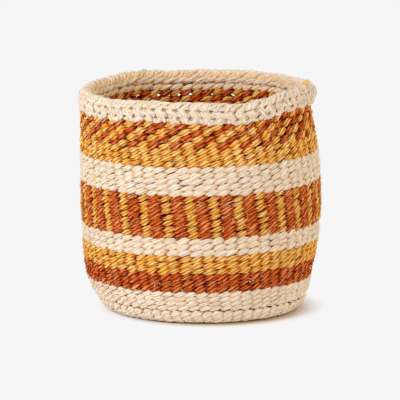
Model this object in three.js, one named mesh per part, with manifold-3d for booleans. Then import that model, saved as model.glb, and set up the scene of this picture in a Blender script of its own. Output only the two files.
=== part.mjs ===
// Round storage basket twined from sisal yarn, in millimetres, +Z up.
// Thirty-one spokes cross in the base and stand up as sixty-two warp ends. Pairs of weft yarns are twined
// round them, band by band, and a plaited rim closes the mouth. The part stands on its flat base.

import * as THREE from 'three';
import { mergeVertices } from 'three/addons/utils/BufferGeometryUtils.js';
import Module from 'manifold-3d';

const wasm = await Module();
wasm.setup();

// Outer skin: a flat foot, a rounded heel, a wall that swells to the belly and tucks in at the mouth.
// The lower the wall's bend, the fuller the wall is below the belly.
const footRadius = 73;
const heelRun = 15;
const heelHeight = 12;
const bellySwell = 12;
const bellyHeight = 98;
const wallBendHeight = 38;
const mouthTuck = 4.6;

// Wall, from the outside in: outer yarn, warp, inner yarn
const outerYarn = 3;
const warpDepth = 2;
const warpWidth = 3.2;
const innerYarn = 2.6;
const ribDepth = 0.9;
const clearance = 0.3;

// Spokes and the round centre where they cross
const spokes = 31;
const centreRadius = 22;
const crossingRadius = 20;
const baseRibs = 3;

// Heights of the weft bands, from the heel up
const footBand = 16.2;
const rustBand = 16;
const lowOchreBand = 15.3;
const middleBand = 15.1;
const stripeBand = 35.3;
const upperBand = 23.6;
const highOchreBand = 14.8;
const checkerBand = 21;

// Plaited rim and the last weft row, which it sits on and hooks over
const seatRow = 5;
const seatYarn = 1.4;
const rimProud = 1.6;
const rimWidth = 12.2;
const rimHeight = 17;
const rimLobe = 0.6;
const rimSlant = 0.9;

// End of the plait, lapped over the rim on the right, and the yarn end beside it
const joinLength = 17;
const joinHeight = 11;
const joinDepth = 1.8;
const joinAngle = 88;
const yarnEndWidth = 4;
const yarnEndHeight = 5;
const yarnEndLean = 1.6;
const yarnEndAngle = 78;

// Hand-made form: how far the middle of each height has moved sideways, rows that climb to the right,
// and a rim that dips at the back
const footSway = 2.2;
const heelSway = 1;
const lowerSway = 0.5;
const upperSway = 0.5;
const mouthSway = -3.9;
const sideRise = 1.3;
const backDip = 0.4;

const palette = { natural: 0xe6d9bd, ochre: 0xe0a33f, rust: 0xb4532a, warp: 0xd8c7a2 };

const warpEnds = spokes * 2;
const pitch = (Math.PI * 2) / warpEnds;
const footTop = heelHeight + footBand;
const rustTop = footTop + rustBand;
const lowOchreTop = rustTop + lowOchreBand;
const middleTop = lowOchreTop + middleBand;
const stripeTop = middleTop + stripeBand;
const upperTop = stripeTop + upperBand;
const highOchreTop = upperTop + highOchreBand;
const mouthHeight = highOchreTop + checkerBand;
const heelRadius = footRadius + heelRun;
const bellyRadius = heelRadius + bellySwell;
const mouthRadius = bellyRadius - mouthTuck;
const wallTop = mouthHeight + seatRow;
const rimTop = mouthHeight + rimHeight;
const warpFace = warpDepth / 2;
const yarnFace = warpFace + clearance;
const coreDepth = outerYarn + yarnFace;

// Outer skin from the middle of the base, round the heel and up the wall
const foot = new THREE.Vector2(footRadius, 0);
const heel = new THREE.Vector2(heelRadius, heelHeight);
const belly = new THREE.Vector2(bellyRadius, bellyHeight);
const mouth = new THREE.Vector2(mouthRadius, mouthHeight);
const wallBend = new THREE.Vector2(bellyRadius, wallBendHeight);
const shoulderBend = new THREE.Vector2(bellyRadius, (bellyHeight + mouthHeight) / 2);
const floorBend = foot.clone().lerp(new THREE.Vector2(heelRadius, 0), 0.6);
const heelBend = heel.clone().add(heel.clone().sub(wallBend).setLength(heelHeight / 2));
const mouthLean = mouth.clone().sub(shoulderBend).setLength(seatRow);

const skin = new THREE.CurvePath();
skin.add(new THREE.LineCurve(new THREE.Vector2(0, 0), foot));
skin.add(new THREE.CubicBezierCurve(foot, floorBend, heelBend, heel));
skin.add(new THREE.QuadraticBezierCurve(heel, wallBend, belly));
skin.add(new THREE.QuadraticBezierCurve(belly, shoulderBend, mouth));
skin.add(new THREE.LineCurve(mouth, mouth.clone().add(mouthLean)));
const skinLength = skin.getLength();

function skinPoint(along, depth = 0) {
  const tangent = skin.getTangent(along / skinLength);
  const inward = new THREE.Vector2(-tangent.y, tangent.x);
  return skin.getPoint(along / skinLength).addScaledVector(inward, depth);
}

// Distance along the skin at which it reaches a height
function alongAt(height) {
  let low = footRadius;
  let high = skinLength;
  while (high - low > 1e-4) {
    const middle = (low + high) / 2;
    if (skinPoint(middle).y < height) low = middle;
    else high = middle;
  }
  return high;
}

// The warps lie on a line of straight stretches inside the wall, and both yarn layers follow its faces
const heelAlong = alongAt(heelHeight);
const seatFrom = alongAt(mouthHeight);
const coreStops = [
  0,
  footRadius,
  (footRadius + heelAlong) / 2,
  heelAlong,
  alongAt(lowOchreTop),
  alongAt(stripeTop),
  skinLength,
];

function corePoint(along, offset) {
  let stop = 1;
  while (stop < coreStops.length - 1 && along > coreStops[stop]) stop += 1;
  const share = (along - coreStops[stop - 1]) / (coreStops[stop] - coreStops[stop - 1]);
  const before = skinPoint(coreStops[stop - 1], coreDepth + offset);
  const after = skinPoint(coreStops[stop], coreDepth + offset);
  return before.lerp(after, share);
}

function coreRun(from, to) {
  return [from, ...coreStops.filter((stop) => stop > from && stop < to), to];
}

// Every layer is a polygon of one side per spoke, so that the layers nest without touching
function around(angle, radius, height) {
  const side = (Math.PI * 2) / spokes;
  const corner = Math.floor(angle / side);
  const share = angle / side - corner;
  const first = corner * side;
  const second = first + side;
  const x = Math.sin(first) * (1 - share) + Math.sin(second) * share;
  const y = -Math.cos(first) * (1 - share) - Math.cos(second) * share;
  return new THREE.Vector3(x * radius, y * radius, height);
}

// Sideways shift of the centre at each height, straight between the same heights as the warps' bends
const swayStops = [
  [0, footSway],
  [heelHeight, heelSway],
  [lowOchreTop, lowerSway],
  [stripeTop, upperSway],
  [wallTop, mouthSway],
];

function swayAt(height) {
  for (let stop = 1; stop < swayStops.length; stop += 1) {
    const [low, before] = swayStops[stop - 1];
    const [high, after] = swayStops[stop];
    if (height <= high) return THREE.MathUtils.mapLinear(Math.max(height, low), low, high, before, after);
  }
  return mouthSway;
}

function shapeByHand(geometry) {
  const position = geometry.getAttribute('position');
  for (let index = 0; index < position.count; index += 1) {
    const x = position.getX(index);
    const y = position.getY(index);
    const z = position.getZ(index);
    const climb = sideRise * (x / bellyRadius) * THREE.MathUtils.clamp(z / bellyHeight, 0, 1);
    const dip = backDip * (y / mouthRadius) * THREE.MathUtils.clamp((z - wallTop) / (rimTop - wallTop), 0, 1);
    position.setXYZ(index, x + swayAt(z), y, z + climb - dip);
  }
  geometry.computeVertexNormals();
  return geometry;
}

// Solid turned round the basket's axis from a closed section, or from one that ends on the axis
function turned(section) {
  const lathe = new THREE.LatheGeometry(section, spokes);
  lathe.rotateX(Math.PI / 2);
  lathe.deleteAttribute('normal');
  lathe.deleteAttribute('uv');
  return shapeByHand(mergeVertices(lathe, 1e-4));
}

// Skin of quads over a row of sections with as many points each, closed to a loop or capped at its ends
function lofted(sections, loop) {
  const size = sections[0].length;
  const points = sections.flat();
  const index = [];
  const count = loop ? sections.length : sections.length - 1;
  for (let row = 0; row < count; row += 1) {
    const here = row * size;
    const next = ((row + 1) % sections.length) * size;
    for (let corner = 0; corner < size; corner += 1) {
      const after = (corner + 1) % size;
      index.push(here + corner, next + corner, next + after);
      index.push(here + corner, next + after, here + after);
    }
  }
  const last = (sections.length - 1) * size;
  for (let corner = 1; !loop && corner < size - 1; corner += 1) {
    index.push(0, corner, corner + 1);
    index.push(last, last + corner + 1, last + corner);
  }
  const geometry = new THREE.BufferGeometry().setFromPoints(points);
  geometry.setIndex(index);
  return geometry;
}

// Outer yarn of a band: one rounded rib for each twined row
function ribbedYarn(from, to, rows) {
  const start = from + clearance / 2;
  const end = to - clearance / 2;
  const section = [];
  for (let step = 0; step <= rows * 2; step += 1) {
    const depth = step % 2 === 0 ? ribDepth : 0;
    section.push(skinPoint(THREE.MathUtils.lerp(start, end, step / (rows * 2)), depth));
  }
  for (const along of coreRun(start, end).reverse()) section.push(corePoint(along, -yarnFace));
  section.push(section[0].clone());
  return turned(section);
}

// Yarn that lies flat against the warps, on the side that the sign of its faces gives
function flatYarn(from, to, nearFace, farFace) {
  const run = coreRun(from + clearance / 2, to - clearance / 2);
  const section = run.map((along) => corePoint(along, nearFace));
  for (const along of run.reverse()) section.push(corePoint(along, farFace));
  section.push(section[0].clone());
  return turned(section);
}

function innerBand(from, to) {
  return flatYarn(from, to, yarnFace, yarnFace + innerYarn);
}

// Round patch of yarn over the crossing of the spokes
function centrePatch(low, high) {
  const edge = centreRadius - clearance / 2;
  const section = [[0, low], [edge, low], [edge, high], [0, high]];
  return turned(section.map(([radius, height]) => new THREE.Vector2(radius, height)));
}

// One yarn of the striped band, drawn as a single tall twined row. It lies outside on every other warp and
// inside on the rest, and passes over its partner on the way in and under it on the way out.
function twinedYarn(from, to, firstWarp) {
  const bottom = from + clearance / 2;
  const top = to - clearance / 2;
  const panelReach = 0.3;
  const crossingShare = 0.2;
  const crossingThickness = 1.2;
  const outside = [-coreDepth, -yarnFace];
  const inside = [yarnFace, yarnFace + innerYarn];
  const crossing = [-crossingThickness / 2, crossingThickness / 2];
  const sections = [];

  function addSection(turn, low, high, faces) {
    const corners = [[low, faces[0]], [high, faces[0]], [high, faces[1]], [low, faces[1]]];
    sections.push(corners.map(([along, offset]) => {
      const point = corePoint(along, offset);
      return around((turn + 0.5) * pitch, point.x, point.y);
    }));
  }

  for (let warp = 0; warp < warpEnds; warp += 1) {
    const isOutside = (warp + firstWarp) % 2 === 0;
    const faces = isOutside ? outside : inside;
    addSection(warp - panelReach, bottom, top, faces);
    addSection(warp + panelReach, bottom, top, faces);
    const passHeight = (top - bottom) * crossingShare;
    const low = isOutside ? top - passHeight : bottom;
    addSection(warp + 0.5, low, low + passHeight, crossing);
  }
  return shapeByHand(lofted(sections, true));
}

function toManifold(geometry) {
  const bare = geometry.clone();
  bare.deleteAttribute('normal');
  bare.deleteAttribute('uv');
  const merged = mergeVertices(bare, 1e-4);
  const vertProperties = new Float32Array(merged.getAttribute('position').array);
  const triVerts = new Uint32Array(merged.getIndex().array);
  return new wasm.Manifold(new wasm.Mesh({ numProp: 3, vertProperties, triVerts }));
}

function fromManifold(solid) {
  const mesh = solid.getMesh();
  const geometry = new THREE.BufferGeometry();
  geometry.setAttribute('position', new THREE.BufferAttribute(new Float32Array(mesh.vertProperties), 3));
  geometry.setIndex(new THREE.BufferAttribute(new Uint32Array(mesh.triVerts), 1));
  return geometry;
}

// One warp end: a three-sided cord from inside the crossing to the wall's top, slimmer where the ends crowd
function warpEnd(index) {
  const rootSink = 3;
  const crowdShare = 0.6;
  const angle = (index + 0.5) * pitch;
  const sections = [crossingRadius - rootSink, ...coreStops.slice(1)].map((along) => {
    const radius = corePoint(along, 0).x;
    const width = Math.min(warpWidth, radius * pitch * crowdShare);
    const spread = width / 2 / radius;
    const outer = corePoint(along, -warpFace);
    const inner = corePoint(along, warpFace);
    return [
      around(angle - spread, outer.x, outer.y),
      around(angle, inner.x, inner.y),
      around(angle + spread, outer.x, outer.y),
    ];
  });
  return lofted(sections, false);
}

// Rigid cage of the wall: the spokes' crossing and the warp ends that leave it
function warpCage() {
  const low = coreDepth - warpFace;
  const high = coreDepth + warpFace;
  const disc = [[0, low], [crossingRadius, low], [crossingRadius, high], [0, high]];
  const lathe = new THREE.LatheGeometry(disc.map(([x, y]) => new THREE.Vector2(x, y)), spokes);
  let cage = toManifold(lathe.rotateX(Math.PI / 2));
  for (let index = 0; index < warpEnds; index += 1) cage = cage.add(toManifold(warpEnd(index)));
  return shapeByHand(fromManifold(cage));
}

// Plaited rim: a hooked section over the wall's top, with one slanting lobe for each warp end
const rimOuter = mouthRadius + rimProud;
const rimInner = rimOuter - rimWidth;

function rimPlait() {
  const low = mouthHeight + clearance;
  const seat = wallTop + clearance;
  const seatFace = -yarnFace - seatYarn - clearance;
  const lipLow = corePoint(seatFrom, seatFace).x;
  const lipHigh = corePoint(skinLength, seatFace).x;
  const across = (share) => THREE.MathUtils.lerp(rimInner, rimOuter, share);
  const up = (share) => THREE.MathUtils.lerp(seat, rimTop, share);
  const outline = [
    { radius: lipLow, height: low, swell: 0, turn: 0 },
    { radius: rimOuter - rimLobe, height: low, swell: 0.4, turn: -0.5 },
    { radius: rimOuter, height: up(0.3), swell: 1, turn: -0.2 },
    { radius: across(0.86), height: up(0.84), swell: 1, turn: 0.2 },
    { radius: across(0.45), height: rimTop, swell: 1, turn: 0.5 },
    { radius: rimInner, height: up(0.6), swell: 1, turn: 0.9 },
    { radius: across(0.1), height: seat, swell: 0, turn: 1 },
    { radius: lipHigh, height: seat, swell: 0, turn: 0 },
  ];
  const middle = new THREE.Vector2(across(0.5), up(0.4));
  const sections = [];
  for (let step = 0; step < warpEnds * 2; step += 1) {
    const dent = step % 2 === 0 ? 0 : rimLobe * 2;
    sections.push(outline.map(({ radius, height, swell, turn }) => {
      const point = new THREE.Vector2(radius, height);
      const toMiddle = middle.clone().sub(point).setLength(dent * swell);
      point.add(toMiddle);
      const angle = (step / 2 + turn * rimSlant) * pitch;
      return new THREE.Vector3(Math.sin(angle) * point.x, -Math.cos(angle) * point.x, point.y);
    }));
  }
  return shapeByHand(lofted(sections, true));
}

// Lapped end of the plait: a curved pad that tapers to both ends, lying on the rim's outer side
function rimJoin() {
  const steps = 6;
  const endSwell = 0.35;
  const faceShare = 0.6;
  const base = rimOuter + rimLobe + clearance;
  const middleHeight = mouthHeight + rimHeight / 2;
  const sections = [];
  for (let step = 0; step <= steps; step += 1) {
    const share = step / steps;
    const swell = THREE.MathUtils.lerp(endSwell, 1, Math.sin(share * Math.PI));
    const angle = THREE.MathUtils.degToRad(joinAngle) + ((share - 0.5) * joinLength) / rimOuter;
    const half = (joinHeight / 2) * swell;
    const outer = base + joinDepth * swell;
    const corners = [[base, -half], [outer, -half * faceShare], [outer, half * faceShare], [base, half]];
    sections.push(corners.map(([radius, height]) => new THREE.Vector3(
      Math.sin(angle) * radius,
      -Math.cos(angle) * radius,
      middleHeight + height,
    )));
  }
  return shapeByHand(lofted(sections, false));
}

// Cut end of ochre yarn standing on the rim
function yarnEnd() {
  const angle = THREE.MathUtils.degToRad(yarnEndAngle);
  const radius = rimOuter - rimWidth / 2;
  const seat = new THREE.Vector3(Math.sin(angle) * radius, -Math.cos(angle) * radius, rimTop + clearance);
  const tip = seat.clone().add(new THREE.Vector3(yarnEndLean, 0, yarnEndHeight));
  const sides = 6;
  const sections = [[seat, 0.8], [seat.clone().lerp(tip, 0.55), 1], [tip, 0.7]].map(([centre, share]) => {
    const ring = [];
    for (let side = 0; side < sides; side += 1) {
      const turn = (-side / sides) * Math.PI * 2;
      const reach = (yarnEndWidth / 2) * share;
      ring.push(new THREE.Vector3(Math.cos(turn) * reach, Math.sin(turn) * reach, 0).add(centre));
    }
    return ring;
  });
  return shapeByHand(lofted(sections, false));
}

const basket = new THREE.Group();

function addPiece(name, geometry, color, roughness = 0.9) {
  const material = new THREE.MeshStandardMaterial({ color, roughness, metalness: 0 });
  const piece = new THREE.Mesh(geometry, material);
  piece.name = name;
  basket.add(piece);
}

addPiece('warp_spokes', warpCage(), palette.warp);
addPiece('base_centre_under', centrePatch(0, outerYarn), palette.natural);
addPiece('base_centre_upper', centrePatch(coreDepth + yarnFace, coreDepth + yarnFace + innerYarn), palette.natural);
addPiece('base_weft_under', ribbedYarn(centreRadius, footRadius, baseRibs), palette.natural);
addPiece('base_weft_upper', innerBand(centreRadius, footRadius), palette.natural);

// Single-colour bands from the heel up: both yarns of the pair have the same colour
const plainBands = [
  { name: 'heel_natural', from: footRadius, to: heelAlong, rows: 2, color: palette.natural },
  { name: 'foot_natural', from: heelAlong, to: alongAt(footTop), rows: 4, color: palette.natural },
  { name: 'low_rust', from: alongAt(footTop), to: alongAt(rustTop), rows: 3, color: palette.rust },
  { name: 'low_ochre', from: alongAt(rustTop), to: alongAt(lowOchreTop), rows: 3, color: palette.ochre },
  { name: 'middle_natural', from: alongAt(lowOchreTop), to: alongAt(middleTop), rows: 3, color: palette.natural },
  { name: 'upper_natural', from: alongAt(stripeTop), to: alongAt(upperTop), rows: 5, color: palette.natural },
  { name: 'high_ochre', from: alongAt(upperTop), to: alongAt(highOchreTop), rows: 3, color: palette.ochre },
];
for (const { name, from, to, rows, color } of plainBands) {
  addPiece(`${name}_outer`, ribbedYarn(from, to, rows), color);
  addPiece(`${name}_inner`, innerBand(from, to), color);
}

addPiece('stripe_ochre', twinedYarn(alongAt(middleTop), alongAt(stripeTop), 0), palette.ochre);
addPiece('stripe_rust', twinedYarn(alongAt(middleTop), alongAt(stripeTop), 1), palette.rust);
addPiece('checker_ochre', ribbedYarn(alongAt(highOchreTop), seatFrom, 4), palette.ochre);
addPiece('checker_rust', innerBand(alongAt(highOchreTop), seatFrom), palette.rust);
addPiece('seat_natural_outer', flatYarn(seatFrom, skinLength, -yarnFace - seatYarn, -yarnFace), palette.natural);
addPiece('seat_natural_inner', innerBand(seatFrom, skinLength), palette.natural);
addPiece('rim_plait', rimPlait(), palette.natural);
addPiece('rim_join', rimJoin(), palette.natural);
addPiece('ochre_yarn_end', yarnEnd(), palette.ochre);

// The origin is under the middle of the finished basket, on the surface that it stands on
const extent = new THREE.Box3().setFromObject(basket);
const middle = extent.getCenter(new THREE.Vector3());
basket.position.set(-middle.x, -middle.y, -extent.min.z);

export default basket;
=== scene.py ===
import math

import bpy
import numpy as np
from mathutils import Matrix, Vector


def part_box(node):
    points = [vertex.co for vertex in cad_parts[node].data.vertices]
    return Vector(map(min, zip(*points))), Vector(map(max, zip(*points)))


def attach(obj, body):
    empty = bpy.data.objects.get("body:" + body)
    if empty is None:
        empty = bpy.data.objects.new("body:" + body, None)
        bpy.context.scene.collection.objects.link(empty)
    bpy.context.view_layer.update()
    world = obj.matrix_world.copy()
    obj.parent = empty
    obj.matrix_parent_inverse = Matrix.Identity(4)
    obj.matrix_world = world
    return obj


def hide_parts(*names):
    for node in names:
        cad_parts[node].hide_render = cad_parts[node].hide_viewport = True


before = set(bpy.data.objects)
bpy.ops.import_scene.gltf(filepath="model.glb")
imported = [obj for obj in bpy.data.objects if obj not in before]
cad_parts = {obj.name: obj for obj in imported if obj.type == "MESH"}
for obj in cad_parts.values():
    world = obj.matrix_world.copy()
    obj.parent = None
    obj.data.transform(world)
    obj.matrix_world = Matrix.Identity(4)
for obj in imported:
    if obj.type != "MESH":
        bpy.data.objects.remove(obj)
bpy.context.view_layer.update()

mm = 0.001
fullTurn = 2 * math.pi

# Outer skin of the basket, as the part has it: flat foot, round heel, swelling wall, mouth tucked in
form = {
    "footRadius": 73 * mm,
    "heelRun": 15 * mm,
    "heelHeight": 12 * mm,
    "bellySwell": 12 * mm,
    "bellyHeight": 98 * mm,
    "wallBendHeight": 38 * mm,
    "floorBend": 0.6,  # of the heel's run
    "mouthTuck": 4.6 * mm,
    "mouthHeight": 168.1 * mm,
    "seatRow": 5 * mm,
    "rimHeight": 18 * mm,
    "coreDepth": 4.3 * mm,  # from the skin to the middle of the warps
    "sideRise": 1.3 * mm,
    "backDip": 0.3 * mm,
    "warps": 62,
}

# What the maker's hands left: a middle that wanders sideways, and warps that drift to the right going down
hand = {
    "swayHeights": np.array([0, 12, 30, 44, 62, 84, 98, 110, 134, 148, 168, 188]) * mm,
    "swayShifts": np.array([2.2, 1.0, -0.8, -0.2, 0.5, 0.9, 0.6, 0.5, -0.8, -2, -3.9, -3.6]) * mm,
    "leanHeights": np.array([0, 74, 110, 166, 188]) * mm,
    "leanTurns": np.radians([3.7, -3.4, -5.7, -12.0, -14.5]),
    "rimAngles": np.radians([-180, -165, -152, -144, -132, -120, -90, -60, -45, -25, -10, 0, 10, 22, 33, 42,
                             50, 62, 80, 110, 180]),
    "rimShifts": np.array([0, 0.3, 1.7, 2.2, 1.1, 0, -0.3, -0.8, -0.6, 1.4, 0.6, 0.4, -0.8, -2.4, -0.9, 1.2,
                           2.8, 3.4, 2.4, 0.6, 0]) * mm,
    "rimShiftFrom": 146 * mm,  # rows below this height don't follow the rim's ups and downs
}

pitch = fullTurn / form["warps"]


def unit(vectors):
    return vectors / np.maximum(np.linalg.norm(vectors, axis=-1, keepdims=True), 1e-12)


# A share from nought to one that starts and ends gently
def eased(share):
    return share * share * (3 - 2 * share)


# The same angle, at most half a turn to either side
def wrapped(angle):
    return (angle + math.pi) % fullTurn - math.pi


def bezier(points, count):
    share = np.linspace(0, 1, count)[:, None]
    degree = len(points) - 1
    total = np.zeros((count, 2))
    for index, point in enumerate(points):
        total += math.comb(degree, index) * share ** index * (1 - share) ** (degree - index) * point
    return total


def lengthAlong(line):
    return np.concatenate([[0], np.cumsum(np.linalg.norm(np.diff(line, axis=0), axis=1))])


def buildSkin():
    middle = np.zeros(2)
    foot = np.array([form["footRadius"], 0])
    heel = foot + [form["heelRun"], form["heelHeight"]]
    belly = np.array([heel[0] + form["bellySwell"], form["bellyHeight"]])
    mouth = np.array([belly[0] - form["mouthTuck"], form["mouthHeight"]])
    floorBend = foot + [form["heelRun"] * form["floorBend"], 0]
    wallBend = np.array([belly[0], form["wallBendHeight"]])
    heelBend = heel + unit(heel - wallBend) * form["heelHeight"] / 2
    shoulderBend = np.array([belly[0], (belly[1] + mouth[1]) / 2])
    top = mouth + unit(mouth - shoulderBend) * form["rimHeight"]
    curves = [
        ([middle, foot], 80),
        ([foot, floorBend, heelBend, heel], 80),
        ([heel, wallBend, belly], 160),
        ([belly, shoulderBend, mouth], 160),
        ([mouth, top], 40),
    ]
    line = np.concatenate([[middle]] + [bezier(points, count)[1:] for points, count in curves])
    along = lengthAlong(line)
    tangent = unit(np.gradient(line, along, axis=0))
    return {
        "along": along,
        "radius": line[:, 0],
        "height": line[:, 1],
        "inRadius": -tangent[:, 1],
        "inHeight": tangent[:, 0],
        "bellyRadius": belly[0],
        "mouthRadius": mouth[0],
    }


skin = buildSkin()


def onSkin(key, along):
    return np.interp(along, skin["along"], skin[key])


def alongAt(height):
    wall = skin["along"] >= form["footRadius"]
    return float(np.interp(height, skin["height"][wall], skin["along"][wall]))


# The part's origin is under the middle of the whole basket, a little off the axis that it was turned on
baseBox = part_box("base_centre_under")
baseMiddle = (baseBox[0] + baseBox[1]) / 2
axisX = baseMiddle.x - hand["swayShifts"][0]
axisY = baseMiddle.y


# Points of the finished basket from points of the regular one
def shaped(angle, radius, height):
    x = np.sin(angle) * radius
    y = -np.cos(angle) * radius
    wallTop = form["mouthHeight"] + form["seatRow"]
    rimTop = form["mouthHeight"] + form["rimHeight"]
    climb = form["sideRise"] * x / skin["bellyRadius"] * np.clip(height / form["bellyHeight"], 0, 1)
    dip = form["backDip"] * y / skin["mouthRadius"] * np.clip((height - wallTop) / (rimTop - wallTop), 0, 1)
    sway = np.interp(height, hand["swayHeights"], hand["swayShifts"])
    near = np.clip((height - hand["rimShiftFrom"]) / (form["mouthHeight"] - hand["rimShiftFrom"]), 0, 1)
    shift = np.interp(wrapped(angle), hand["rimAngles"], hand["rimShifts"]) * eased(near)
    return np.stack([x + sway + axisX, y + axisY, height + climb - dip + shift], -1)


def leanAt(height):
    return np.interp(height, hand["leanHeights"], hand["leanTurns"])


mouthLean = leanAt(form["mouthHeight"])


# Value at every place u of a smooth curve through one random number per whole u, closed on itself
def smoothNoise(values, u):
    low = np.floor(u).astype(int)
    share = eased(u - low)
    count = len(values)
    return values[low % count] * (1 - share) + values[(low + 1) % count] * share


# Slow wave round the basket, for rows that are never quite level
def slowWave(random, turns, size):
    wave = np.zeros_like(turns)
    for order in (1, 2, 3, 5, 8):
        wave += random.normal() / order ** 0.7 * np.sin(order * turns + random.uniform(0, fullTurn))
    return wave * size / 2


# Outward and up for every point of a line, square to it and to each other
def lineFrames(centres, outward, closed):
    if closed:
        forward = np.roll(centres, -1, 0) - np.roll(centres, 1, 0)
    else:
        forward = np.gradient(centres, axis=0)
    forward = unit(forward)
    up = unit(np.cross(forward, outward))
    return unit(np.cross(up, forward)), up


# Random number for every ply of a yarn, which changes slowly along it, on all the sides of that ply
def plyNoise(random, place, kind, size):
    knots = max(4, round(place[-1] / kind["patch"]))
    values = random.normal(0, size, (knots, kind["plies"]))
    plies = [smoothNoise(ply, place / place[-1] * knots) for ply in values.T]
    return np.repeat(np.stack(plies, -1), kind["sidesPerPly"], 1)


# Twisted yarn swept along a line. Its section has one lobe for each ply, and the lobes wind round it. Its
# flanks and the lengths that are sunk between other yarns are marked for the shade there. It shows on the
# outer side of the wall where showing is 1, and on the inner side where it is -1.
def yarnTube(centres, outward, halfOut, halfUp, closed, kind, random, sunk=0.0, tone=0.5, showing=1.0):
    count = len(centres)
    perPly = kind["sidesPerPly"]
    sides = kind["plies"] * perPly

    def onRings(value):
        return np.broadcast_to(value, (count,))[:, None]

    out, up = lineFrames(centres, outward, closed)
    length = lengthAlong(np.concatenate([centres, centres[:1] if closed else centres[-1:]]))
    place = length[:count]
    turns = length[-1] / kind["lay"]
    if closed:
        turns = max(1, round(turns))
    phase = random.uniform(0, fullTurn) - place / length[-1] * turns * fullTurn
    around = np.arange(sides) / sides * fullTurn
    ply = np.sin(math.pi * (np.arange(sides) % perPly) / perPly) if perPly > 1 else np.ones(sides)
    rough = random.normal(0, kind["rough"], (count, sides))
    rough = (rough + np.roll(rough, 1, 0)) / 2 + plyNoise(random, place, kind, kind["uneven"])
    tones = onRings(tone) + plyNoise(random, place, kind, kind["motley"])
    angle = phase[:, None] + around
    size = (1 - kind["groove"] * (1 - ply) ** 2) * (1 + rough)
    outPart = np.cos(angle) * size * onRings(halfOut)
    upPart = np.sin(angle) * size * onRings(halfUp)
    flank = np.clip((kind["flankFrom"] - np.cos(angle) * onRings(showing)) / kind["flankSpan"], 0, 1)
    return {
        "points": centres[:, None] + out[:, None] * outPart[..., None] + up[:, None] * upPart[..., None],
        "closed": closed,
        "length": length,
        "around": around,
        "thick": float(np.mean(halfUp)),
        "ply": np.broadcast_to(ply, (count, sides)),
        "sunk": 1 - (1 - onRings(sunk)) * (1 - kind["flankShade"] * flank),
        "tone": np.clip(tones, 0, 1),
    }


noiseGap = 0.37  # metres between the yarns of one piece in the noise of their material


def fill(items, key, values, kind=np.float32):
    items.foreach_set(key, np.asarray(values, kind).ravel())


# One mesh from many yarn tubes, with what its material reads: place along and round the yarn, and marks. The
# cut ends of open tubes are closed by one face each.
def meshFrom(name, grids):
    corners, quads, caps, places, marks = [], [], [], [], []
    start = 0
    offset = 0.0
    for grid in grids:
        count, sides, _ = grid["points"].shape
        side = np.arange(sides)
        beside = (side + 1) % sides
        rows = np.arange(count if grid["closed"] else count - 1)[:, None]
        here = start + rows * sides
        after = start + (rows + 1) % count * sides
        quads.append(np.stack([here + side, here + beside, after + beside, after + side], -1).reshape(-1, 4))
        if not grid["closed"]:
            caps += [start + side[::-1], start + (count - 1) * sides + side]
        place = [grid["length"][:count, None] + offset, np.cos(grid["around"]) * grid["thick"],
                 np.sin(grid["around"]) * grid["thick"]]
        corners.append(grid["points"].reshape(-1, 3))
        places.append(np.stack(np.broadcast_arrays(*place), -1).reshape(-1, 3))
        marks.append(np.stack([grid["ply"], grid["sunk"], grid["tone"]], -1).reshape(-1, 3))
        start += count * sides
        offset += grid["length"][-1] + noiseGap
    corners = np.concatenate(corners)
    corners[:, 2] = np.maximum(corners[:, 2], 0)  # nothing lies lower than what the basket stands on
    quads = np.concatenate(quads)
    loops = np.concatenate([quads.ravel()] + caps)
    sizes = np.array([4] * len(quads) + [len(cap) for cap in caps])
    mesh = bpy.data.meshes.new(name)
    mesh.vertices.add(len(corners))
    mesh.loops.add(len(loops))
    mesh.polygons.add(len(sizes))
    fill(mesh.vertices, "co", corners)
    fill(mesh.loops, "vertex_index", loops, np.int32)
    fill(mesh.polygons, "loop_start", np.cumsum(sizes) - sizes, np.int32)
    fill(mesh.polygons, "use_smooth", np.ones(len(sizes)), bool)
    fill(mesh.attributes.new("yarnPlace", "FLOAT_VECTOR", "POINT").data, "vector", np.concatenate(places))
    fill(mesh.attributes.new("yarnMark", "FLOAT_VECTOR", "POINT").data, "vector", np.concatenate(marks))
    fill(mesh.uv_layers.new(name="OFBake").data, "uv", unrolled(grids))
    mesh.update(calc_edges=True)
    mesh.validate()
    return mesh


# In a cell of the flat map: the strip's corner and size, and the two caps above it
cell = {"left": 0.03, "bottom": 0.05, "width": 0.94, "height": 0.78, "caps": [(0.25, 0.92), (0.75, 0.92)],
        "capRadius": 0.05}


# Flat map of a mesh: every tube is cut into lengths, and each length is unrolled into a cell of its own
def unrolled(grids):
    girth = fullTurn * np.mean([grid["thick"] for grid in grids])
    length = np.mean([grid["length"][-1] for grid in grids])
    cuts = max(1, round(math.sqrt(length / (girth * len(grids)))))
    cells = cuts * len(grids)
    across = max(1, round(math.sqrt(cells * girth * cuts / length)))
    down = math.ceil(cells / across)
    strips, caps = [], []
    for index, grid in enumerate(grids):
        count, sides, _ = grid["points"].shape
        rows = count if grid["closed"] else count - 1
        row, side = np.divmod(np.arange(rows * sides), sides)
        cut = row * cuts // rows
        first = -(-cut * rows // cuts)
        span = -(-(cut + 1) * rows // cuts) - first
        column = (index * cuts + cut) % across + cell["left"]
        line = (index * cuts + cut) // across + cell["bottom"]
        loops = []
        for onwards, beside in ((0, 0), (0, 1), (1, 1), (1, 0)):
            u = (column + cell["width"] * (row - first + onwards) / span) / across
            v = (line + cell["height"] * (side + beside) / sides) / down
            loops.append(np.stack([u, v], -1))
        strips.append(np.stack(loops, 1).reshape(-1, 2))
        if not grid["closed"]:
            disc = np.stack([np.cos(grid["around"]), np.sin(grid["around"])], -1) * cell["capRadius"]
            corner = np.array([index * cuts % across, index * cuts // across])
            for middle, order in zip(cell["caps"], (-1, 1)):
                caps.append((corner + middle + disc[::order]) / (across, down))
    return np.concatenate(strips + caps)


def addObject(name, data):
    thing = bpy.data.objects.new(name, data)
    bpy.context.scene.collection.objects.link(thing)
    return thing


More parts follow.
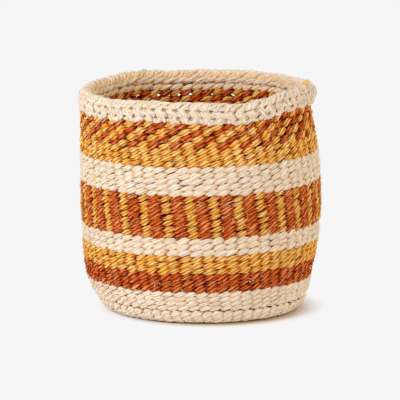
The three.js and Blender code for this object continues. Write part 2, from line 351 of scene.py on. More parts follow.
def addPiece(name, grids, paint, *nodes, slot=None):
    mesh = meshFrom(name, grids)
    mesh.materials.append(paint)
    piece = addObject(name, mesh)
    slot = slot or slots[paint]
    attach(piece, "root")
    if nodes:
        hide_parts(*nodes)
    print("made", name, "with", len(mesh.polygons), "faces")


# The two yarns of a band, each in place of one solid
def addPair(name, pair, paint, *nodes):
    for yarns, place, node in zip(pair, ("_first", "_second"), nodes):
        addPiece(name + place, yarns, paint, node)


# Link to a socket where the value is one, and else the value itself
def feed(tree, socket, value):
    if isinstance(value, bpy.types.NodeSocket):
        tree.links.new(value, socket)
    else:
        socket.default_value = value


# New node with its inputs fed, by its outputs
def addNode(tree, kind, inputs, **settings):
    node = tree.nodes.new(kind)
    for key, value in settings.items():
        setattr(node, key, value)
    for key, value in inputs.items():
        feed(tree, node.inputs[key], value)
    return node.outputs


def mathNode(tree, operation, *values):
    return addNode(tree, "ShaderNodeMath", dict(enumerate(values)), operation=operation)[0]


def vectorNode(tree, operation, *values):
    return addNode(tree, "ShaderNodeVectorMath", dict(enumerate(values)), operation=operation)


def mixColours(tree, share, first, second):
    return addNode(tree, "ShaderNodeMix", {0: share, 6: first, 7: second}, data_type="RGBA")[2]


def mixShaders(tree, share, first, second):
    return addNode(tree, "ShaderNodeMixShader", {0: share, 1: first, 2: second})[0]


# Nought up to the low value, one from the high one, and eased between
def easedRange(tree, value, low, high):
    inputs = {"Value": value, "From Min": low, "From Max": high}
    return addNode(tree, "ShaderNodeMapRange", inputs, interpolation_type="SMOOTHSTEP")[0]


# Node group with one vector and some numbers as inputs, and numbers as outputs
def newGroup(name, vector, numbers, results):
    group = bpy.data.node_groups.new(name, "ShaderNodeTree")
    group.interface.new_socket(name=vector, in_out="INPUT", socket_type="NodeSocketVector")
    for key, value in numbers.items():
        socket = group.interface.new_socket(name=key, in_out="INPUT", socket_type="NodeSocketFloat")
        socket.default_value = value
    for key in results:
        group.interface.new_socket(name=key, in_out="OUTPUT", socket_type="NodeSocketFloat")
    return group, group.nodes.new("NodeGroupInput").outputs, group.nodes.new("NodeGroupOutput").inputs


# Noise drawn out along the yarn: place is in metres along and round it
def drawnNoise(tree, place, perLength, perWidth, detail, roughness):
    scale = addNode(tree, "ShaderNodeCombineXYZ", {0: perLength, 1: perWidth, 2: perWidth})[0]
    inputs = {"Vector": vectorNode(tree, "MULTIPLY", place, scale)[0], "Scale": 1.0, "Detail": detail,
              "Roughness": roughness}
    return addNode(tree, "ShaderNodeTexNoise", inputs)["Fac"]


effects = {
    "streaksAlong": 160.0,  # per metre
    "streaksAcross": 1500.0,
    "finerAlong": 2.3,  # the fine streaks, as against the coarse ones
    "finerAcross": 2.6,
    "fineShare": 0.35,
    "streakRange": (0.34, 0.66),
    "scarcity": 0.66,
    "straysAlong": 120.0,
    "straysAcross": 900.0,
    "straySharpness": 18.0,
    "creasePower": 1.1,
    "turnPower": 1.4,
    "bumpHeight": 0.6 * mm,
    "rougher": 0.1,  # deep in the streaks
    "smoother": 0.08,  # and on top of them
}


# Coarse and fine streaks along the fibres
def buildFibreStreaks():
    numbers = {key: effects[key] for key in ("streaksAlong", "streaksAcross")}
    group, start, end = newGroup("fibreStreaks", "place", numbers, ["streaks", "relief"])
    place, perLength, perWidth = start[:3]
    coarse = drawnNoise(group, place, perLength, perWidth, 2.0, 0.5)
    finerLength = mathNode(group, "MULTIPLY", perLength, effects["finerAlong"])
    finerWidth = mathNode(group, "MULTIPLY", perWidth, effects["finerAcross"])
    fine = drawnNoise(group, place, finerLength, finerWidth, 2.0, 0.6)
    finePart = mathNode(group, "MULTIPLY", fine, effects["fineShare"])
    both = mathNode(group, "MULTIPLY_ADD", coarse, 1 - effects["fineShare"], finePart)
    feed(group, end["streaks"], easedRange(group, both, *effects["streakRange"]))
    feed(group, end["relief"], both)
    return group


# Pale fibres that lie on the yarn, few, thin and long: partly undyed and worn fibres, partly painted glints
# where fibres catch the light
def buildPaleFibresAndGlints():
    numbers = {key: effects[key] for key in ("scarcity", "straysAlong", "straysAcross")}
    group, start, end = newGroup("paleFibresAndGlints", "place", numbers, ["mask"])
    place, scarcity, perLength, perWidth = start[:4]
    above = mathNode(group, "SUBTRACT", drawnNoise(group, place, perLength, perWidth, 1.0, 0.5), scarcity)
    sharp = mathNode(group, "MULTIPLY", above, effects["straySharpness"])
    feed(group, end["mask"], addNode(group, "ShaderNodeClamp", {0: sharp})[0])
    return group


# Shade in the creases between plies and where a stitch turns in between the warps
def buildCreaseShade():
    numbers = {"creaseDepth": 0.6, "turnDepth": 0.5}
    group, start, end = newGroup("creaseShade", "marks", numbers, ["shade", "tone"])
    marks, creaseDepth, turnDepth = start[:3]
    ply, sunk, tone = addNode(group, "ShaderNodeSeparateXYZ", {0: marks})[:3]
    crease = mathNode(group, "POWER", mathNode(group, "SUBTRACT", 1.0, ply), effects["creasePower"])
    turn = mathNode(group, "POWER", sunk, effects["turnPower"])
    turnPart = mathNode(group, "MULTIPLY", turn, turnDepth)
    shade = mathNode(group, "MULTIPLY_ADD", crease, creaseDepth, turnPart)
    feed(group, end["shade"], addNode(group, "ShaderNodeClamp", {0: shade})[0])
    feed(group, end["tone"], tone)
    return group


fibreStreaks = buildFibreStreaks()
paleFibresAndGlints = buildPaleFibresAndGlints()
creaseShade = buildCreaseShade()


def newMaterial(name):
    material = bpy.data.materials.new(name)
    material.use_nodes = True
    return material, material.node_tree, material.node_tree.nodes["Principled BSDF"]


def yarnMaterial(name, look):
    material, tree, shader = newMaterial(name)

    def effect(group, inputs):
        return addNode(tree, "ShaderNodeGroup", inputs, node_tree=group)

    place = addNode(tree, "ShaderNodeAttribute", {}, attribute_name="yarnPlace")["Vector"]
    marks = addNode(tree, "ShaderNodeAttribute", {}, attribute_name="yarnMark")["Vector"]
    streaks = effect(fibreStreaks, {"place": place})
    strays = effect(paleFibresAndGlints, {"place": place, "scarcity": look["strayScarcity"]})
    depths = {key: look[key] for key in ("creaseDepth", "turnDepth")}
    shades = effect(creaseShade, {"marks": marks, **depths})
    toned = mixColours(tree, shades["tone"], look["duller"], look["brighter"])
    lit = mixColours(tree, streaks["streaks"], look["deep"], toned)
    fleck = mathNode(tree, "MULTIPLY", strays["mask"], look["strayStrength"])
    flecked = mixColours(tree, fleck, lit, look["paleFibreAndGlint"])
    crease = mixColours(tree, shades["tone"], look["creaseDull"], look["crease"])
    rough = {"Value": streaks["streaks"], "To Min": look["roughness"] + effects["rougher"],
             "To Max": look["roughness"] - effects["smoother"]}
    bump = {"Strength": look["bump"], "Distance": effects["bumpHeight"], "Height": streaks["relief"]}
    feed(tree, shader.inputs["Base Color"], mixColours(tree, shades["shade"], flecked, crease))
    feed(tree, shader.inputs["Roughness"], addNode(tree, "ShaderNodeMapRange", rough)[0])
    feed(tree, shader.inputs["Normal"], addNode(tree, "ShaderNodeBump", bump)[0])
    shader.inputs["Specular IOR Level"].default_value = look["shine"]
    return material


# Colours of the yarns. The crease colours are painted shade in the creases and where a stitch turns in. The
# natural yarn's duller colour is warm: inside the basket it is painted shade with the warm light that the
# yarn throws back there, elsewhere it is the tone of duller stitches.
naturalLook = {
    "brighter": (0.78, 0.745, 0.635, 1),
    "duller": (1.0, 0.74, 0.42, 1),
    "deep": (0.70, 0.54, 0.36, 1),
    "crease": (0.56, 0.26, 0.07, 1),
    "creaseDull": (0.74, 0.35, 0.08, 1),  # painted crease shade where the yarn is duller, mostly inside the basket, warmer there for the light that the yarn throws back
    # pale fibres, and painted glints where fibres catch the light
    "paleFibreAndGlint": (0.97, 0.92, 0.82, 1),
    "strayScarcity": 0.58,
    "strayStrength": 0.5,
    "creaseDepth": 0.42,
    "turnDepth": 1.3,
    "roughness": 0.88,
    "shine": 0.08,
    "bump": 0.6,
}
ochreLook = {
    "brighter": (1.0, 0.81, 0.36, 1),
    "duller": (0.98, 0.57, 0.11, 1),
    "deep": (0.74, 0.35, 0.015, 1),
    "crease": (0.53, 0.14, 0.0, 1),
    "creaseDull": (0.50, 0.08, 0.0, 1),
    "paleFibreAndGlint": (1.0, 0.80, 0.42, 1),
    "strayScarcity": 0.64,
    "strayStrength": 0.7,
    "creaseDepth": 0.85,
    "turnDepth": 1.3,
    "roughness": 0.8,
    "shine": 0.0,
    "bump": 0.8,
}
rustLook = dict(
    ochreLook,
    brighter=(1.0, 0.41, 0.13, 1),
    duller=(0.74, 0.15, 0.022, 1),
    deep=(0.43, 0.04, 0.0, 1),
    crease=(0.21, 0.009, 0.0, 1),
    creaseDull=(0.22, 0.010, 0.0, 1),
    paleFibreAndGlint=(0.92, 0.46, 0.22, 1),
    strayScarcity=0.65,
    strayStrength=0.75,
    creaseDepth=1.0,
    turnDepth=1.4,
)
# The foot is painted lighter than the natural yarn it is made of, as painted light that the floor throws
# back on it
footLitLook = dict(naturalLook, brighter=(0.87, 0.805, 0.67, 1), deep=(0.77, 0.60, 0.40, 1))
# Colours of the warps, which show only in the gaps between the stitches: painted shade, darker than the
# natural yarn, and dark red in the dyed bands
warpLook = dict(naturalLook, brighter=(0.50, 0.34, 0.17, 1), duller=(0.52, 0.13, 0.006, 1),
                deep=(0.40, 0.14, 0.02, 1), crease=(0.30, 0.03, 0.0, 1), creaseDull=(0.30, 0.03, 0.0, 1),
                turnDepth=1.0, shine=0.0)

naturalSisal = yarnMaterial("naturalSisal", naturalLook)
footLitSisal = yarnMaterial("footLitSisal", footLitLook)
ochreSisal = yarnMaterial("ochreSisal", ochreLook)
rustSisal = yarnMaterial("rustSisal", rustLook)
warpSisal = yarnMaterial("warpSisal", warpLook)
slots = {naturalSisal: "natural_sisal", footLitSisal: "natural_sisal", ochreSisal: "ochre_sisal",
         rustSisal: "rust_sisal", warpSisal: "warp_sisal"}
print("materials made")

yarn = {
    "plies": 5,
    "sidesPerPly": 4,
    "lay": 62 * mm,
    "patch": 5 * mm,  # length of yarn over which a ply keeps its thickness and tone
    "groove": 0.55,
    "rough": 0.08,
    "uneven": 0.17,
    "motley": 0.3,
    "flankFrom": 0.5,  # how squarely a place faces outwards where the shade of the flank begins
    "flankSpan": 0.9,
    "flankShade": 0.55,
}
smoothYarn = dict(yarn, groove=0.25, rough=0.05, uneven=0.09, motley=0.15, flankFrom=0.4, flankSpan=0.8,
                  flankShade=0.75)

# Twining: two yarns wind round each other and change sides between the warps
dyedWeave = {
    "yarn": yarn,
    "outside": 2.85 * mm,  # how far a yarn's middle lies from the middle of the warps, on either side
    "inside": 2.5 * mm,
    "flatness": 2.3,
    "longer": 0.0,  # how much more of its way the second yarn lies outside than the first one
    "staggered": False,  # whether the yarns change places from row to row
    "rise": 0.27,  # of the row's height, up and down from its middle
    "level": 0.05,  # how much flatter a stitch lies than it dives
    "taper": 1.2,  # 1 and more: pointed stitches, below 1: blunt ones
    "fullness": 0.585,  # half a stitch's height, of the row's height
    "pinch": 0.34,  # the same between the warps, where the two yarns pass
    "thick": 1.5 * mm,
    "thickPassing": 3.0 * mm,  # between the warps the yarn is squeezed flat the other way
    "looseHeight": 0.11,  # random part of each stitch's height
    "loosePinch": 0.3,
    "looseRise": 0.3 * mm,
    "looseDepth": 0.35 * mm,
    "looseTurn": 0.07,  # of a stitch
    "tone": 0.55,
    "toneSpread": 0.2,
    "sinking": 1.15,  # how fast the shade grows from a stitch's middle to its ends, slower when higher
    "insideShade": 0.45,  # painted shade inside the basket: how far the yarn there leans to its duller, warmer colour
}
naturalWeave = dict(dyedWeave, yarn=smoothYarn, rise=0.26, fullness=0.59, pinch=0.36, taper=1.0,
                    thickPassing=3.1 * mm, looseRise=0.2 * mm, looseHeight=0.08, tone=0.85, sinking=2.2)
# The foot takes only the brighter colour, also as painted light from the floor
footWeave = dict(naturalWeave, tone=1.0, yarn=dict(smoothYarn, flankShade=0.6))
heelWeave = dict(footWeave, pinch=0.1, taper=1.2, fullness=0.88)
# The seat row under the rim leans to the duller, warmer colour, as painted shade and warm light thrown back
# inside the basket
seatWeave = dict(naturalWeave, tone=0.3)
stripeWeave = dict(dyedWeave, rise=0.29, pinch=0.35, longer=0.18)
checkerWeave = dict(dyedWeave, staggered=True)
weaving = {
    "stepsPerStitch": 8,
    "wave": 0.12 * mm,  # how far each row sways by itself
    "drift": 0.4 * mm,  # how far a row wanders off its level
    "driftWaves": [(2, 0.5, 1.1, 14), (3, 0.3, 4.0, 23), (7, 0.25, 2.0, 31)],  # count, size, start, twist
    "sideSharpness": 3,  # how soon a yarn counts as outside or inside when it has passed between two warps
}

# Spots in the back of the checkered band where the yarns stand apart and light comes through
pinholes = {
    "angles": np.radians([214.8, 209.8, 204, 201.6, 196, 190.6, 185.2, 173.2, 160.6]),
    "heights": np.array([164.8, 164.8, 170.3, 164.8, 164.8, 164.8, 164.8, 164.8, 164.8]) * mm,
    "reach": 3.0 * mm,
    "push": 1.6 * mm,
    "thin": 0.4,
}


# How far the rows at one height lie off their level, round the basket
def rowDrift(turns, height):
    drift = sum(size * np.sin(count * turns + start + twist * height)
                for count, size, start, twist in weaving["driftWaves"])
    return drift * weaving["drift"]


def skinPlaces(turns, along, depth):
    radius = onSkin("radius", along) + onSkin("inRadius", along) * depth
    height = onSkin("height", along) + onSkin("inHeight", along) * depth
    return shaped(turns, radius, height)


def outwardFrom(turns, radial, vertical):
    return unit(np.stack([np.sin(turns) * radial, -np.cos(turns) * radial, vertical], -1))


def skinOutward(turns, along):
    return outwardFrom(turns, -onSkin("inRadius", along), -onSkin("inHeight", along))


# Push along the skin away from the pinholes, and how near a place is to one
def pinholePush(turns, place):
    push = np.zeros_like(turns)
    closest = np.zeros_like(turns)
    for angle, height in zip(pinholes["angles"], pinholes["heights"]):
        gap = (round((angle - leanAt(height)) / pitch - 0.5) + 0.5) * pitch + leanAt(height)
        across = wrapped(turns - gap) * skin["mouthRadius"]
        off = place - alongAt(height)
        near = np.exp(-(across ** 2 + off ** 2) / pinholes["reach"] ** 2)
        push += np.sign(off) * near * pinholes["push"]
        closest = np.maximum(closest, near)
    return push, closest


def twinedRow(random, along, rowHeight, stitches, style, firstOut, steps):
    u = np.arange(stitches * steps) / steps
    height = onSkin("height", along)
    level = slowWave(random, u * fullTurn / stitches, weaving["wave"])

    def loose(spread, middle=0.0):
        return smoothNoise(random.normal(middle, spread, stitches), u)

    grids = []
    for order in (0, 1):
        beat = math.pi * (u - order - firstOut)
        swing = np.clip(np.cos(beat) + style["longer"] * (2 * order - 1), -1, 1)
        climb = (np.sin(beat) - style["level"] * np.sin(3 * beat)) / (1 + style["level"])
        turns = (u + loose(style["looseTurn"])) * fullTurn / stitches + leanAt(height)
        lift = loose(style["looseRise"]) + climb * style["rise"] * rowHeight
        place = along + level + rowDrift(turns, height) + lift
        push, near = pinholePush(turns, place)
        square = np.tanh(style["flatness"] * swing) / math.tanh(style["flatness"])
        reach = np.where(swing > 0, style["outside"], style["inside"])
        depth = form["coreDepth"] - reach * square + np.abs(loose(style["looseDepth"]))
        full = np.abs(swing) ** style["taper"]
        halfUp = rowHeight * (1 + loose(style["looseHeight"])) * (1 - pinholes["thin"] * near)
        pinch = 1 - style["loosePinch"] * smoothNoise(random.random(stitches) ** 2, u - 0.5)
        halfUp = halfUp * (full * style["fullness"] + (1 - full) * style["pinch"] * pinch)
        halfOut = full * style["thick"] + (1 - full) * style["thickPassing"]
        side = np.clip(weaving["sideSharpness"] * swing, -1, 1)
        tone = np.clip(loose(style["toneSpread"], style["tone"]), 0, 1)
        # Painted shade: on the inner side the yarn leans to its duller, warmer colour
        tone = tone * (1 - style["insideShade"] * np.maximum(-side, 0))
        sunk = (1 - np.abs(swing)) ** style["sinking"]
        centres = skinPlaces(turns, place + push, depth)
        grids.append(yarnTube(centres, skinOutward(turns, place), halfOut, halfUp, True, style["yarn"],
                              random, sunk, tone, side))
    return grids


# Rows of a band between two places on the skin; the first yarn lies outside on every even warp
def twinedBand(seed, start, end, rows, style, stitches=form["warps"], steps=weaving["stepsPerStitch"]):
    random = np.random.default_rng(seed)
    rowHeight = (end - start) / rows
    pairs = []
    for row in range(rows):
        along = start + (row + 0.5) * rowHeight
        firstOut = (rows - 1 - row) % 2 if style["staggered"] else 0
        pairs.append(twinedRow(random, along, rowHeight, stitches, style, firstOut, steps))
    return list(zip(*pairs))


wallBands = [  # from below: name, height, rows, seed, weave, and material where the two yarns have the same
    ("foot_natural", 16.2 * mm, 4, 11, footWeave, footLitSisal),
    ("low_rust", 16 * mm, 3, 12, dyedWeave, rustSisal),
    ("low_ochre", 15.3 * mm, 3, 13, dyedWeave, ochreSisal),
    ("middle_natural", 15.1 * mm, 3, 14, naturalWeave, naturalSisal),
    ("stripe", 35.3 * mm, 7, 21, stripeWeave, None),
    ("upper_natural", 23.6 * mm, 5, 15, naturalWeave, naturalSisal),
    ("high_ochre", 14.8 * mm, 3, 16, dyedWeave, ochreSisal),
    ("checker", 22 * mm, 4, 22, checkerWeave, None),
    ("seat_natural", form["seatRow"], 1, 17, seatWeave, naturalSisal),
]
tops = np.cumsum([form["heelHeight"]] + [band[1] for band in wallBands])[1:-1]
footTop, rustTop, lowOchreTop, middleTop, stripeTop, upperTop, highOchreTop, checkerTop = tops
edges = [alongAt(height) for height in (form["heelHeight"], *tops)]
heelAlong = edges[0]
seatEnd = edges[-1] + form["seatRow"]
spans = zip(wallBands, edges, [*edges[1:], seatEnd])
for (name, _, rows, seed, weave, paint), low, high in sorted(spans, key=lambda span: span[0][-1] is None):
    yarns = twinedBand(seed, low, high, rows, weave)
    if paint:
        addPair(name + "_yarn", yarns, paint, name + "_outer", name + "_inner")
    else:
        addPiece(name + "_ochre_yarn", yarns[0], ochreSisal, name + "_ochre")
        addPiece(name + "_rust_yarn", yarns[1], rustSisal, name + "_rust")

# Heel: rows that turn under the basket, with a gap below the foot band where the warps show as small pits
heel = {"rows": 4, "pitGap": 1.9 * mm, "seed": 31}
heelRows = twinedBand(heel["seed"], form["footRadius"], heelAlong - heel["pitGap"], heel["rows"], heelWeave)
addPair("heel_natural_yarn", heelRows, footLitSisal, "heel_natural_outer", "heel_natural_inner")

# Base: twined rings with fewer stitches towards the middle, and a small round start
base = {
    "seed": 41,
    "centreRadius": 22 * mm,
    "midRadius": 47 * mm,
    "innerRadius": 12 * mm,
    "startRadius": 3 * mm,
}
rings = [  # inner and outer radius, rows, stitches and steps per stitch
    (base["midRadius"], form["footRadius"], 5, form["warps"], 5),
    (base["centreRadius"], base["midRadius"], 5, form["warps"] // 2 + 1, 6),
    (base["innerRadius"], base["centreRadius"], 2, 16, 7),
    (base["startRadius"], base["innerRadius"], 2, 8, 8),
]
ringPairs = [twinedBand(base["seed"] + index, inside, outside, rows, naturalWeave, stitches, steps)
             for index, (inside, outside, rows, stitches, steps) in enumerate(rings)]
for name, node, (outer, inner) in (("base_yarn", "base_weft", ringPairs[:2]),
                                   ("base_start_yarn", "base_centre", ringPairs[2:])):
    pair = [first + second for first, second in zip(outer, inner)]
    addPair(name, pair, naturalSisal, node + "_under", node + "_upper")

# Warps: sisal cords from the middle of the base, round the heel and up to the rim
warpCord = {
    "seed": 51,
    "width": 1.7 * mm,
    "depth": 1.35 * mm,
    "crossing": 6 * mm,
    "steps": 90,
    "closest": 4.5 * mm,  # warps nearer to each other than this are drawn thinner
    "thinnest": 0.25,
    "paintedShades": [  # painted shade on the warps where they show between the stitches, dark and reddish in the dyed bands and the heel's pits: from and to which height, and how much
        (form["heelHeight"] - 4 * mm, form["heelHeight"] + 1 * mm, 0.5),
        (footTop, rustTop, 1.0),
        (rustTop, lowOchreTop, 0.15),
        (middleTop, stripeTop, 1.0),
        (upperTop, highOchreTop, 0.15),
        (highOchreTop, checkerTop, 1.0),
    ],
}
warpYarn = dict(yarn, plies=4, lay=16 * mm, flankShade=0)


def buildWarps():
    random = np.random.default_rng(warpCord["seed"])
    along = np.linspace(warpCord["crossing"], seatEnd, warpCord["steps"])
    height = onSkin("height", along)
    # Painted shade on the warps: how much of it, and a tone that is nought in those bands, which gives them
    # their dark red
    warpShade = np.zeros_like(along)
    pale = np.ones_like(along)
    for low, high, shadeShare in warpCord["paintedShades"]:
        inBand = (height > low) & (height < high)
        warpShade[inBand] = shadeShare
        pale[inBand] = 0
    slim = np.clip(onSkin("radius", along) * pitch / warpCord["closest"], warpCord["thinnest"], 1)
    cords = []
    for index in range(form["warps"]):
        turns = index * pitch + leanAt(height)
        centres = skinPlaces(turns, along, form["coreDepth"])
        cords.append(yarnTube(centres, skinOutward(turns, along), warpCord["depth"] * slim,
                              warpCord["width"] * slim, False, warpYarn, random, warpShade, pale))
    return cords


addPiece("warp_cords", buildWarps(), warpSisal, "warp_spokes")

# Rim: warp ends folded over and plaited. Places on it are a number of warps and a distance along its
# section, from the outer lower edge, over the crest and down to the inner lower edge.
rim = {
    "seed": 61,
    "section": np.array([
        [96.2, 168.9], [97.0, 172.5], [97.1, 177.5], [96.0, 182.2], [91.8, 185.7],
        [87.4, 184.2], [85.0, 180.2], [85.3, 176], [86.6, 173.5],
    ]) * mm,
    "pitTop": 179.8 * mm,  # heights of the two rows of small pits outside, and of the one inside
    "pitLow": 173.2 * mm,
    "pitInside": 180 * mm,
    "joinAngle": math.radians(88),
    "joinSpread": math.radians(7),
    "joinProud": 1.6 * mm,
}


# Smooth curve through some points, which lie at the given knots along it
def smoothPath(points, knots, count):
    points = np.array(points, float)
    slopes = np.gradient(points, knots, axis=0)
    fine = np.linspace(0, knots[-1], count)
    index = np.clip(np.searchsorted(knots, fine, side="right") - 1, 0, len(knots) - 2)
    span = np.diff(knots)[index][:, None]
    share = (fine - knots[index])[:, None] / span
    square, cube = share ** 2, share ** 3
    near = points[index] * (2 * cube - 3 * square + 1) + slopes[index] * span * (cube - 2 * square + share)
    return near + points[index + 1] * (3 * square - 2 * cube) + slopes[index + 1] * span * (cube - square)


rimLine = smoothPath(rim["section"], lengthAlong(rim["section"]), 200)
rimAlong = lengthAlong(rimLine)
rimTangent = unit(np.gradient(rimLine, rimAlong, axis=0))
rimLength = rimAlong[-1]


def rimAlongAt(height, inner=False):
    crest = int(np.argmax(rimLine[:, 1]))
    if inner:
        return float(np.interp(-height, -rimLine[crest:, 1], rimAlong[crest:]))
    return float(np.interp(height, rimLine[:crest + 1, 1], rimAlong[:crest + 1]))


def rimPlaces(warp, along, depth):
    radius, height, alongRadius, alongHeight = (np.interp(along, rimAlong, values)
                                                for values in (*rimLine.T, *rimTangent.T))
    turns = warp * pitch + mouthLean
    facing = wrapped(turns - rim["joinAngle"])
    depth = depth - rim["joinProud"] * np.exp(-(facing / rim["joinSpread"]) ** 2)
    centres = shaped(turns, radius - alongHeight * depth, height + alongRadius * depth)
    return centres, outwardFrom(turns, alongHeight, -alongRadius)


pitTop = rimAlongAt(rim["pitTop"])
pitLow = rimAlongAt(rim["pitLow"])
rimCrest = rimAlongAt(np.max(rimLine[:, 1]))
innerPit = rimAlongAt(rim["pitInside"], True)

strand = dict(yarn, plies=3, sidesPerPly=3, lay=22 * mm, patch=6 * mm, groove=0.2, uneven=0.1, motley=0.15,
              flankFrom=0.4, flankSpan=1.0, flankShade=0.2)
plait = {
    "tone": 0.95,
    "toneSpread": 0.2,
    "wander": 0.3 * mm,
    "lift": 0.2 * mm,
    "swerve": 0.035,  # of a warp
    "gather": 0.72,
    "mound": 0.55 * mm,  # how much lower the outer strands of a fold lie than its middle
    "pit": 1.2 * mm,  # and how much shorter they are at each end
    "pitZone": 0.3,  # share of a strand over which that happens
    "warpGap": 9.8 * mm,  # between the warps at the rim
    "pits": [(pitTop, 3.52 * mm, 0.42), (pitLow, 3.68 * mm, 0.72)],  # row, push on strands, place in warps
    "pitReach": 1.9 * mm,
    "endShare": 0.2,  # share of a strand over which it comes up or goes in
    "swelling": [("halfWidth", 0.62, 0.08), ("halfThick", 0.7, 0.06)],  # share of it there, and spread
    "ripples": 12,  # random numbers that its wavering is drawn through
}
# Folds of the plait, with the spread from strand to strand in warps and along the section
lowFold = {"count": 3, "spread": (0.34, 0), "halfWidth": 1.95 * mm, "halfThick": 1.35 * mm, "steps": 16,
           "loose": 1.4, "innerShade": 0}
fallFold = dict(lowFold, spread=(0.34, 0.1 * mm), loose=1.3)
lapFold = dict(lowFold, spread=(0.2, 0), halfWidth=1.4 * mm, halfThick=1.3 * mm, steps=24, loose=2.2)
wrapFold = dict(lowFold, count=2, spread=(0.5, -0.2 * mm), halfWidth=1.8 * mm, halfThick=1.45 * mm, steps=28,
                innerShade=1)
turnFold = dict(wrapFold, spread=(0.1, 2.1 * mm), halfWidth=1.6 * mm, halfThick=1.5 * mm, steps=18,
                loose=1.2)


# One strand of a folded warp end: it comes up out of the plait, lies on it and goes back in. Its ends carry
# painted shade where it goes in, and its second half is painted duller and darker where that lies inside the
# basket, as shade and the warm light thrown back there.
def rimStrand(random, points, kind):
    path = smoothPath(points, np.arange(len(points)), kind["steps"])
    share = np.linspace(0, 1, kind["steps"])
    ends = np.clip(np.minimum(share, 1 - share) / plait["endShare"], 0, 1) ** 0.6
    for column, key in enumerate(("swerve", "wander", "lift")):
        wave = smoothNoise(random.normal(0, 1, plait["ripples"]), share * random.uniform(3, 5))
        path[:, column] += (random.normal() + 0.7 * wave * ends) * plait[key] * kind["loose"]
    for row, size, offset in plait["pits"]:
        aside = ((path[:, 0] - offset + 0.5) % 1 - 0.5) * plait["warpGap"]
        off = path[:, 1] - row
        far = np.maximum(np.hypot(aside, off), 1e-6)
        push = size * np.exp(-(far / plait["pitReach"]) ** 2) / far
        path[:, 0] += aside * push / plait["warpGap"]
        path[:, 1] += off * push
    centres, outward = rimPlaces(*path.T)
    width, thick = [kind[half] * (least + (1 - least) * ends) * random.normal(1, spread)
                    for half, least, spread in plait["swelling"]]
    innerShaded = np.clip((share - 0.5) * 4, 0, 1) * kind["innerShade"]
    tone = np.clip(random.normal(plait["tone"], plait["toneSpread"]), 0, 1) * (1 - innerShaded)
    sunk = 1 - ends ** 1.5 * (1 - 0.35 * innerShaded)
    return yarnTube(centres, outward, thick, width, False, strand, random, sunk, tone)


# The strands of one fold lie side by side. They are gathered a little where they go in, and the outer ones
# are shorter, which leaves small pits between the folds. The points count warps from the fold's own.
def rimFold(random, start, points, kind, tilt=0.0):
    strands = []
    onwards = math.copysign(1, points[-1][1] - points[0][1])
    last = kind["count"] - 1
    for index in range(kind["count"]):
        side = index - last / 2
        outer = (2 * side / last) ** 2
        moved = []
        for step, (warp, along, depth) in enumerate(points):
            share = step / (len(points) - 1)
            fan = plait["gather"] + (1 - plait["gather"]) * math.sin(math.pi * share) ** 0.5
            ends = max(0, 1 - share / plait["pitZone"]) - max(0, 1 - (1 - share) / plait["pitZone"])
            moved.append((start + warp + side * kind["spread"][0] * fan,
                          along + side * (kind["spread"][1] + tilt) + plait["pit"] * outer * ends * onwards,
                          depth + plait["mound"] * outer))
        strands.append(rimStrand(random, moved, kind))
    return strands


def buildRim():
    random = np.random.default_rng(rim["seed"])
    wraps, folds, inner = [], [], []
    for index in range(form["warps"]):
        lean = random.normal(0, 0.12)
        wrap = [
            (-0.3, pitTop - 1.8 * mm, 2.4 * mm),
            (-0.05, pitTop + 0.1 * mm, 1.4 * mm),
            (0.3 + lean, pitTop + 2.4 * mm, 0.8 * mm),
            (0.8 + lean, rimCrest - 1.0 * mm, 0.6 * mm),
            (1.5, rimCrest + 2.4 * mm, 0.9 * mm),
            (1.8, innerPit - 2.2 * mm, 1.2 * mm),
            (2.1, innerPit - 0.2 * mm, 2.2 * mm),
            (2.3, innerPit + 1.4 * mm, 4.2 * mm),
        ]
        wraps += rimFold(random, index, wrap, wrapFold)
        fall = [
            (-0.15, pitTop + 1.2 * mm, 2.6 * mm),
            (-0.05, pitTop - 0.6 * mm, 1.4 * mm),
            (0.1 + random.normal(0, 0.14), (pitTop + pitLow) / 2, 0.9 * mm),
            (0.25, pitLow + 0.5 * mm, 1.4 * mm),
            (0.3, pitLow - 1.1 * mm, 2.6 * mm),
        ]
        folds += rimFold(random, index, fall, fallFold)
        side = random.uniform(-0.35, 0.8)
        low = [
            (0.25 - side, 0.4 * mm, 3.2 * mm),
            (0.25 - 0.8 * side, 1.0 * mm, 1.6 * mm),
            (0.25 - 0.5 * side, pitLow * 0.5, 0.9 * mm),
            (0.25 - 0.15 * side, pitLow - 0.6 * mm, 1.4 * mm),
            (0.25, pitLow + 1.0 * mm, 2.6 * mm),
        ]
        folds += rimFold(random, index, low, lowFold, -0.15 * mm * side)
        turn = [
            (-0.15, innerPit + 0.2 * mm, 3.6 * mm),
            (0.15, innerPit + 1.3 * mm, 1.7 * mm),
            (0.65, innerPit + 3.1 * mm, 0.9 * mm),
            (1.1, innerPit + 4.9 * mm, 1.3 * mm),
            (1.4, innerPit + 6.4 * mm, 3.2 * mm),
        ]
        inner += rimFold(random, index, turn, turnFold)
    return wraps, folds, inner


# Cords inside the rim that the plait is worked round. At the pits they lie deeper and carry painted shade:
# the dark warp colours at the outer pits, and the duller colour at the inner one.
rimCore = {
    "seed": 62,
    "cords": 14,
    "halfOut": 1.5 * mm,
    "halfUp": 1.7 * mm,
    "sunk": 0.3,
    "plain": (3.3 * mm, 0.7),  # depth and tone
    "pits": [(innerPit, 2.5 * mm, 2.6 * mm, 0.1), (pitTop, 1.1 * mm, 4.4 * mm, 0.7),
             (pitLow, 1.1 * mm, 4.4 * mm, 0.4)],  # place, reach, and depth and tone there
}
coreYarn = dict(yarn, lay=24 * mm, flankShade=0)


